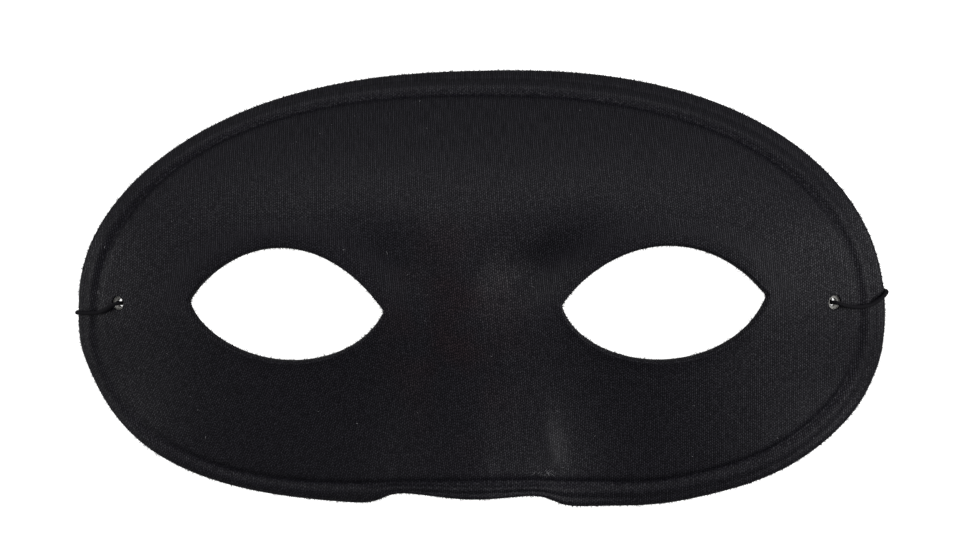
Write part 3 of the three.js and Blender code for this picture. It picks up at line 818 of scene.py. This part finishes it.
# Lint lies flat on the front, in the direction of its turn
def makeLint():
    placed = np.array(lintPlaces)
    plans, turns, lengths, radii = [placed[:, :2]], [np.radians(placed[:, 3])], [placed[:, 2]], []
    radii.append(np.full(len(placed), lint["radius"]))
    for side in (1, -1):
        _, inner, outer = frontRings(side, halfOutline(side, mesh["outline"]))
        column = random.integers(0, len(inner[0]), lint["flecks"] // 2)
        share = np.sqrt(random.uniform(0, 1, len(column)))
        spots = [a[column] + (b[column] - a[column]) * share for a, b in zip(inner, outer)]
        plans.append(np.stack(spots, -1))
        turns.append(random.uniform(0, np.pi, len(column)))
        lengths.append(random.uniform(*lint["fleckLength"], len(column)))
        radii.append(random.uniform(*lint["fleckRadius"], len(column)))
    plan, turn, length, radius = (np.concatenate(a) for a in (plans, turns, lengths, radii))
    tuft = random.normal(0, 1, (lint["tuft"], 2)) * lint["tuftSpread"] + lint["tuftPlace"]
    plan, turn = np.vstack([plan, tuft]), np.append(turn, random.normal(*lint["tuftTurn"], len(tuft)))
    length = np.append(length, random.uniform(*lint["tuftLength"], len(tuft)))
    radius = np.append(radius, random.uniform(*lint["tuftRadius"], len(tuft)))
    reach = np.stack([np.cos(turn), np.sin(turn)], -1) * length[:, None] / 2
    first, last = (onForm(*(plan + reach * way).T, lint["height"]) for way in (-1, 1))
    direction = (last - first) / np.linalg.norm(last - first, axis=1)[:, None]
    bends = random.normal(0, lint["bend"], direction.shape) * lint["flatness"]
    return makeFibres("lint", first, direction, bends, length, radius)


strewnLint = makeLint()
print("lint strewn")


# Node helpers. A math node, whose values are sockets or numbers
def calc(tree, operation, *values):
    node = tree.nodes.new("ShaderNodeMath")
    node.operation = operation
    for socket, value in zip(node.inputs, values):
        if isinstance(value, (int, float)):
            socket.default_value = value
        else:
            tree.links.new(value, socket)
    return node.outputs[0]


# A node with its links, values and properties
def addNode(tree, kind, links=None, values=None, **settings):
    node = tree.nodes.new(kind)
    for key, value in settings.items():
        setattr(node, key, value)
    for key, value in (values or {}).items():
        node.inputs[key].default_value = value
    for key, source in (links or {}).items():
        tree.links.new(source, node.inputs[key])
    return node


def addNoise(tree, place, scale, detail, dimensions="3D", **more):
    values = {"Scale": scale, "Detail": detail, **more}
    node = addNode(tree, "ShaderNodeTexNoise", {"Vector": place}, values, noise_dimensions=dimensions)
    return node.outputs["Fac"]


# The value stretched from the range given to 0 to 1
def stretch(tree, value, low, high):
    node = addNode(tree, "ShaderNodeMapRange", {"Value": value}, {"From Min": low, "From Max": high})
    return node.outputs["Result"]


# A round patch that fades from its middle, where place * scale + shift is nothing
def addPatch(tree, place, scale, shift):
    near = addNode(tree, "ShaderNodeMapping", {"Vector": place}, {"Scale": scale, "Location": shift})
    node = addNode(tree, "ShaderNodeTexGradient", {"Vector": near.outputs[0]}, gradient_type="SPHERICAL")
    return node.outputs["Fac"]


def mixColour(tree, factor, a, b):
    node = addNode(tree, "ShaderNodeMix", {"Factor": factor}, data_type="RGBA")
    for index, value in ((6, a), (7, b)):
        if isinstance(value, tuple):
            node.inputs[index].default_value = (*value, 1)
        else:
            tree.links.new(value, node.inputs[index])
    return node.outputs[2]


def newGroup(name, inputs, outputs):
    group = bpy.data.node_groups.new(name, "ShaderNodeTree")
    for label, kind, value in inputs:
        socket = group.interface.new_socket(label, in_out="INPUT", socket_type=kind)
        if value is not None:
            socket.default_value = value
    for label, kind in outputs:
        group.interface.new_socket(label, in_out="OUTPUT", socket_type=kind)
    return group, group.nodes.new("NodeGroupInput"), group.nodes.new("NodeGroupOutput")


# Stitches: sizes in millimetres, noise scales for a millimetre, and pairs of factor and addend
stitches = {
    "column": 0.43, "course": 0.62, "unevenness": 0.5, "wanderScale": 0.45, "wobbleScale": 0.9,
    "stagger": 0.5, "shuffle": 0.35, "fading": 0.8, "streakStep": 0.16, "streaks": (2.0, -0.5),
    "liveliness": (0.85, 0.6), "pairing": 0.1, "dimming": 0.36, "weave": (0.92, 0.035),
    "grainScale": 5.0, "grainRoughness": 0.7, "grain": 2.6, "grainHeight": 0.4, "grainLeast": 0.1,
}


# Tricot knit: narrow columns of stitches across the map's first axis, each column half a course
# beside the next, and every stitch of its own brightness. Where the cloth is pulled lengthwise the
# courses fade and the columns run on as uneven lines
def makeKnitGroup(sizes):
    number, vector = "NodeSocketFloat", "NodeSocketVector"
    tree, given, result = newGroup(
        "tricotKnit",
        [("Cloth", vector, None), ("Pull", number, 0.0), ("Column", number, sizes["column"]),
         ("Course", number, sizes["course"]), ("Unevenness", number, sizes["unevenness"])],
        [("Height", number), ("Gloss", number)],
    )
    cloth, pull = given.outputs["Cloth"], given.outputs["Pull"]

    def do(operation, *values):
        return calc(tree, operation, *values)

    def wave(value, turns, height, middle):
        return do("MULTIPLY_ADD", do("COSINE", do("MULTIPLY", value, turns * math.pi)), height, middle)

    def blend(factor, a, links, values=None):
        return addNode(tree, "ShaderNodeMix", {"Factor": factor, "A": a, **links}, values).outputs[0]

    wander = addNoise(tree, cloth, sizes["wanderScale"], 2.0, "2D")
    drift = do("MULTIPLY", do("SUBTRACT", wander, 0.5), given.outputs["Unevenness"])
    parts = addNode(tree, "ShaderNodeSeparateXYZ", {"Vector": cloth})
    across = do("ADD", do("DIVIDE", parts.outputs["X"], given.outputs["Column"]), drift)
    along = do("ADD", do("DIVIDE", parts.outputs["Y"], given.outputs["Course"]), drift)
    column = do("FLOOR", across)
    shift = addNode(tree, "ShaderNodeTexWhiteNoise", {"W": column}, noise_dimensions="1D")
    shuffle = do("MULTIPLY", shift.outputs["Value"], sizes["shuffle"])
    stagger = do("ADD", do("MULTIPLY", column, sizes["stagger"]), shuffle)
    phase = do("ADD", do("ADD", along, stagger), addNoise(tree, cloth, sizes["wobbleScale"], 1.0, "2D"))
    leg, loop = wave(across, 2, -0.5, 0.5), wave(phase, 2, 0.5, 0.5)
    rows = do("MULTIPLY_ADD", do("SUBTRACT", 1.0, pull), -sizes["fading"], 1.0)
    stitch = do("MULTIPLY", leg, blend(loop, rows, {}, {"B": 1.0}))
    course = do("FLOOR", do("ADD", phase, 0.5))
    cell = addNode(tree, "ShaderNodeCombineXYZ", {"X": column, "Y": course})
    single = addNode(tree, "ShaderNodeTexWhiteNoise", {"Vector": cell.outputs[0]}, noise_dimensions="2D")
    strandAlong = do("MULTIPLY", along, sizes["streakStep"])
    strand = addNode(tree, "ShaderNodeCombineXYZ", {"X": column, "Y": strandAlong})
    streaky = do("MULTIPLY_ADD", addNoise(tree, strand.outputs[0], 1.0, 1.0, "2D"), *sizes["streaks"])
    chance = blend(pull, single.outputs["Value"], {"B": streaky})
    lively = do("MULTIPLY_ADD", chance, *sizes["liveliness"])
    even = do("MULTIPLY_ADD", pull, -sizes["dimming"], 1.0)
    weave = do("MULTIPLY_ADD", stitch, *sizes["weave"])
    pair = wave(column, 1, sizes["pairing"], 1.0)
    bright = do("MULTIPLY", do("MULTIPLY", weave, lively), do("MULTIPLY", pair, even))
    grain = addNoise(tree, cloth, sizes["grainScale"], 1.0, "2D", Roughness=sizes["grainRoughness"])
    rough = do("MULTIPLY", do("SUBTRACT", grain, 0.5), sizes["grain"])
    gritty = do("MAXIMUM", do("ADD", rough, 1.0), sizes["grainLeast"])
    tree.links.new(do("MULTIPLY_ADD", rough, sizes["grainHeight"], stitch), result.inputs["Height"])
    tree.links.new(do("MULTIPLY", bright, gritty), result.inputs["Gloss"])
    return tree


knitGroup = makeKnitGroup(stitches)


def newMaterial(name, **values):
    material = bpy.data.materials.new(name)
    material.use_nodes = True
    shader = material.node_tree.nodes["Principled BSDF"]
    for key, value in values.items():
        shader.inputs[key.replace("_", " ")].default_value = value
    return material, material.node_tree, shader


def objectPlace(tree):
    return addNode(tree, "ShaderNodeTexCoord").outputs["Object"]


def fabricMap(tree):
    return addNode(tree, "ShaderNodeUVMap", uv_map="fabric").outputs["UV"]


def shareOf(tree, name):
    return addNode(tree, "ShaderNodeAttribute", attribute_name=name).outputs["Fac"]


# Colour and relief of a material, with the strength and the depth of the relief in metres
def dress(tree, shader, colour, height, bump):
    tree.links.new(colour, shader.inputs["Base Color"])
    node = addNode(tree, "ShaderNodeBump", {"Height": height}, {"Strength": bump[0], "Distance": bump[1]})
    tree.links.new(node.outputs["Normal"], shader.inputs["Normal"])


# Cloth: its colours, with the reddish faded dye on the nose, its gloss, the worn fold by the right nostril,
# whose added gloss is also a painted highlight, and painted shade in noisy spots along the groove. Scales
# are for a metre
clothLook = {
    "gap": (0.0012, 0.0011, 0.0017), "yarn": (0.0125, 0.0118, 0.0195), "faded": (0.028, 0.0095, 0.0135),
    "tint": (0.86, 0.8, 1.0, 1), "bump": (1.0, 0.0001), "gloss": 0.92, "sheen": 0.045,
    "noseScale": (52, 29, 0), "noseShift": (0.23, 0.23, 0), "dyeScale": 95.0, "dyeRange": (0.4, 0.62),
    # the fold patch's place and strength: worn cloth, and a painted highlight there
    "foldScale": (222, 105, 0), "foldShift": (-3.55, 3.75, 0), "wearAndPaintedHighlight": 0.3,
    # painted shade in spots along the groove: noise scale, range and depth
    "grooveShadeScale": 1500.0, "grooveShadeRange": (0.62, 0.4), "grooveShadeDepth": 0.75,
}


# The cloth is dull in its gaps, and its yarns carry a thin gloss where they stand up
def makeClothMaterial(look):
    material, tree, shader = newMaterial(
        "blackTricot", Roughness=0.5, Specular_IOR_Level=0.1, Specular_Tint=look["tint"], Coat_Roughness=0.5
    )
    place = objectPlace(tree)
    links = {"Cloth": fabricMap(tree), "Pull": shareOf(tree, "pull")}
    knit = addNode(tree, "ShaderNodeGroup", links, node_tree=knitGroup)
    nearNose = addPatch(tree, place, look["noseScale"], look["noseShift"])
    dye = stretch(tree, addNoise(tree, place, look["dyeScale"], 2.0), *look["dyeRange"])
    yarn = mixColour(tree, calc(tree, "MULTIPLY", nearNose, dye), look["yarn"], look["faded"])
    body = mixColour(tree, knit.outputs["Gloss"], look["gap"], yarn)
    # The fold by the right nostril is worn, and its gloss is raised further as a painted highlight
    wearAndPaintedHighlight = addPatch(tree, place, look["foldScale"], look["foldShift"])
    sheen = calc(tree, "MULTIPLY_ADD", wearAndPaintedHighlight, look["wearAndPaintedHighlight"], look["sheen"])
    # Painted shade: the gloss is dimmed in noisy spots along the rim groove
    grooveShadeSpots = stretch(tree, addNoise(tree, place, look["grooveShadeScale"], 1.0), *look["grooveShadeRange"])
    dark = calc(tree, "MULTIPLY", shareOf(tree, "groove"), grooveShadeSpots)
    shaded = calc(tree, "MULTIPLY_ADD", dark, -look["grooveShadeDepth"], 1.0)
    gloss = calc(tree, "MULTIPLY_ADD", knit.outputs["Gloss"], look["gloss"], sheen)
    tree.links.new(calc(tree, "MULTIPLY", gloss, shaded), shader.inputs["Coat Weight"])
    dress(tree, shader, body, knit.outputs["Height"], look["bump"])
    return material


feltLook = {
    "dull": (0.76, 0.75, 0.71), "pale": (0.86, 0.85, 0.82), "cloudScale": 60.0, "fibre": (0.4, 0.38, 0.33),
    "fibreScale": 900.0, "fibreShare": 0.35, "bump": (0.5, 0.0001),
}


def makeCoreMaterial(look):
    material, tree, shader = newMaterial(
        "pressedFelt", Roughness=0.85, Sheen_Weight=0.1, Specular_IOR_Level=0.3
    )
    place = objectPlace(tree)
    fibres = addNoise(tree, place, look["fibreScale"], 4.0, Distortion=1.2)
    base = mixColour(tree, addNoise(tree, place, look["cloudScale"], 3.0), look["dull"], look["pale"])
    colour = mixColour(tree, calc(tree, "MULTIPLY", fibres, look["fibreShare"]), base, look["fibre"])
    dress(tree, shader, colour, fibres, look["bump"])
    return material


# Braid of the elastic: an eighth of its girth and a plait's length, in millimetres
braidLook = {
    "eighth": 0.35343, "plait": 0.5, "range": (-0.4, 0.5), "bump": (0.7, 0.00008),
    "dark": (0.002, 0.002, 0.0025), "light": (0.014, 0.013, 0.0165),
}


# The higher of two sets of waves that run slanting round the elastic, sin(along + around) and
# sin(along - around), makes the plaits
def makeElasticMaterial(look):
    material, tree, shader = newMaterial("braidedElastic", Roughness=0.65, Specular_IOR_Level=0.1)
    parts = addNode(tree, "ShaderNodeSeparateXYZ", {"Vector": fabricMap(tree)})
    around = calc(tree, "MULTIPLY", parts.outputs["X"], 2 * math.pi / look["eighth"])
    along = calc(tree, "MULTIPLY", parts.outputs["Y"], 2 * math.pi / look["plait"])
    one, other = (calc(tree, "SINE", calc(tree, way, along, around)) for way in ("ADD", "SUBTRACT"))
    plaits = calc(tree, "MULTIPLY", calc(tree, "MAXIMUM", one, other), 0.5)
    colour = mixColour(tree, stretch(tree, plaits, *look["range"]), look["dark"], look["light"])
    dress(tree, shader, colour, plaits, look["bump"])
    return material


# Thread colours: the noise mixes each with its own darker shade
threadLook = {"dark": 0.4, "scale": 400.0, "black": (0.04, 0.038, 0.048), "pale": (0.5, 0.49, 0.52)}


def makeThreadMaterial(name, colour):
    material, tree, shader = newMaterial(name, Roughness=0.8, Specular_IOR_Level=0.2)
    uneven = addNoise(tree, objectPlace(tree), threadLook["scale"], 2.0)
    darker = tuple(v * threadLook["dark"] for v in colour)
    tree.links.new(mixColour(tree, uneven, darker, colour), shader.inputs["Base Color"])
    return material


cloth, felt, braid = makeClothMaterial(clothLook), makeCoreMaterial(feltLook), makeElasticMaterial(braidLook)
blackThread = makeThreadMaterial("blackThread", threadLook["black"])
fluff = makeThreadMaterial("paleFluff", threadLook["pale"])
for piece, material in ((cover, cloth), (core, felt), (elasticCord, braid), (knots[0], braid),
                        (knots[1], braid), (clothFuzz, blackThread), (strewnLint, fluff)):
    piece.data.materials.clear()
    piece.data.materials.append(material)
print("materials made")

# Studio: a plain white table that shines by itself, and soft boxes round it. Each one has its
# direction in degrees, its distance and size in metres, and the light that it throws on the mask
studio = {
    "floor": 6.0, "floorLevel": -0.05, "floorPoints": 9, "floorColour": 0.85, "floorGlow": 1.0, "sky": 0.232,
}
softBoxes = {
    "overForehead": {"azimuth": 92, "elevation": 44, "distance": 1.6, "size": (2.4, 0.75), "light": 1.12},
    "lowRight": {"azimuth": 5, "elevation": 11, "distance": 1.5, "size": (0.8, 0.55), "light": 0.78},
    "highRight": {"azimuth": 0, "elevation": 45, "distance": 1.5, "size": (0.75, 0.75), "light": 0.65},
    "lowLeft": {"azimuth": 180, "elevation": 11, "distance": 1.5, "size": (0.75, 0.55), "light": 0.66},
}


def makeFloor():
    half, count = studio["floor"] / 2 / metre, studio["floorPoints"]
    x, y = np.meshgrid(np.linspace(-half, half, count), np.linspace(-half, half, count))
    points = np.stack([x.ravel(), y.ravel(), np.full(x.size, studio["floorLevel"])], -1)
    floor = makeObject("floor", points, gridFaces(count, count, 0, False, False).tolist())
    floor.visible_diffuse = False  # the white surround throws hardly any light on the cloth
    floor.visible_glossy = False
    material, _, shader = newMaterial("whiteTable", Roughness=0.9, Specular_IOR_Level=0.1)
    shader.inputs["Base Color"].default_value = (studio["floorColour"],) * 3 + (1,)
    shader.inputs["Emission Color"].default_value = (1, 1, 1, 1)
    shader.inputs["Emission Strength"].default_value = studio["floorGlow"]
    floor.data.materials.append(material)


# The camera sees a white surround, and the mask gets only a little light from it
def makeSurround():
    world = bpy.data.worlds.new("studio")
    world.use_nodes = True
    tree = world.node_tree
    tree.nodes["Background"].inputs["Color"].default_value = (1, 1, 1, 1)
    rays = addNode(tree, "ShaderNodeLightPath").outputs["Is Camera Ray"]
    strength = addNode(tree, "ShaderNodeMapRange", {"Value": rays}, {"To Min": studio["sky"], "To Max": 1.0})
    tree.links.new(strength.outputs["Result"], tree.nodes["Background"].inputs["Strength"])
    bpy.context.scene.world = world


def makeSoftBox(name, box):
    azimuth, elevation = math.radians(box["azimuth"]), math.radians(box["elevation"])
    flat = Vector((math.cos(azimuth), math.sin(azimuth), 0))
    toBox = flat * math.cos(elevation) + Vector((0, 0, math.sin(elevation)))
    data = bpy.data.lights.new(name, "AREA")
    data.shape = "RECTANGLE"
    data.size, data.size_y = box["size"]
    data.energy = math.pi * box["distance"] ** 2 * box["light"]
    light = bpy.data.objects.new(name, data)
    light.location = toBox * box["distance"]
    light.rotation_euler = toBox.to_track_quat("Z", "Y").to_euler()
    light.visible_camera = False
    bpy.context.scene.collection.objects.link(light)


makeFloor()
makeSurround()
for name, box in softBoxes.items():
    makeSoftBox(name, box)
bpy.context.scene.view_settings.view_transform = "Standard"
print("studio lit")

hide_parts("knit_cover")
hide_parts("moulded_core")
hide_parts("elastic_cord")
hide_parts("knot_right")
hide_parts("knot_left")
for piece, slot in ((cover, "knit"), (core, "core_sheet"), (elasticCord, "elastic"), (knots[0], "elastic"),
                    (knots[1], "elastic"), (clothFuzz, "knit"), (strewnLint, "knit")):
    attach(piece, "root")
